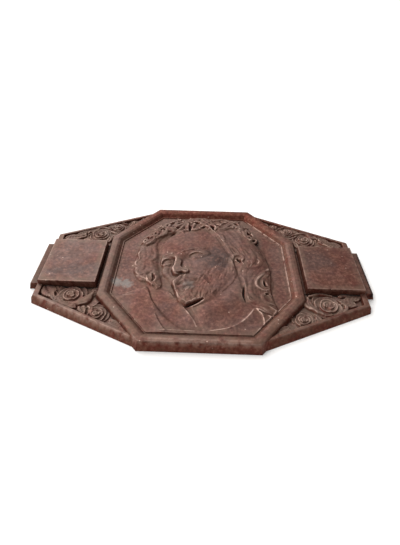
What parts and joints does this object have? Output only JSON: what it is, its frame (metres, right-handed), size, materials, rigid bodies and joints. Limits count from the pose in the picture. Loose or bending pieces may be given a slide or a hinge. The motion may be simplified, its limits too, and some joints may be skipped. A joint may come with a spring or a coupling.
{
  "type": "relief plaque",
  "caption": "Cast bronze wall plaque with an eight-sided portrait relief between two blank tablets and corner fields of carved roses.",
  "frame": {"origin": "centre of the flat back, on the wall face", "axes": "+Z out of the wall, through the relief; +Y up the head; +X along the plaque's length, to the viewer's right"},
  "size_m": [0.3824, 0.2316, 0.0142],
  "materials": {
    "bronze": "brown patinated cast bronze with worn edges, a grey bloom and a trace of verdigris"
  },
  "bodies": {
    "root": {"plaque": "bronze"}
  },
  "joints": []
}
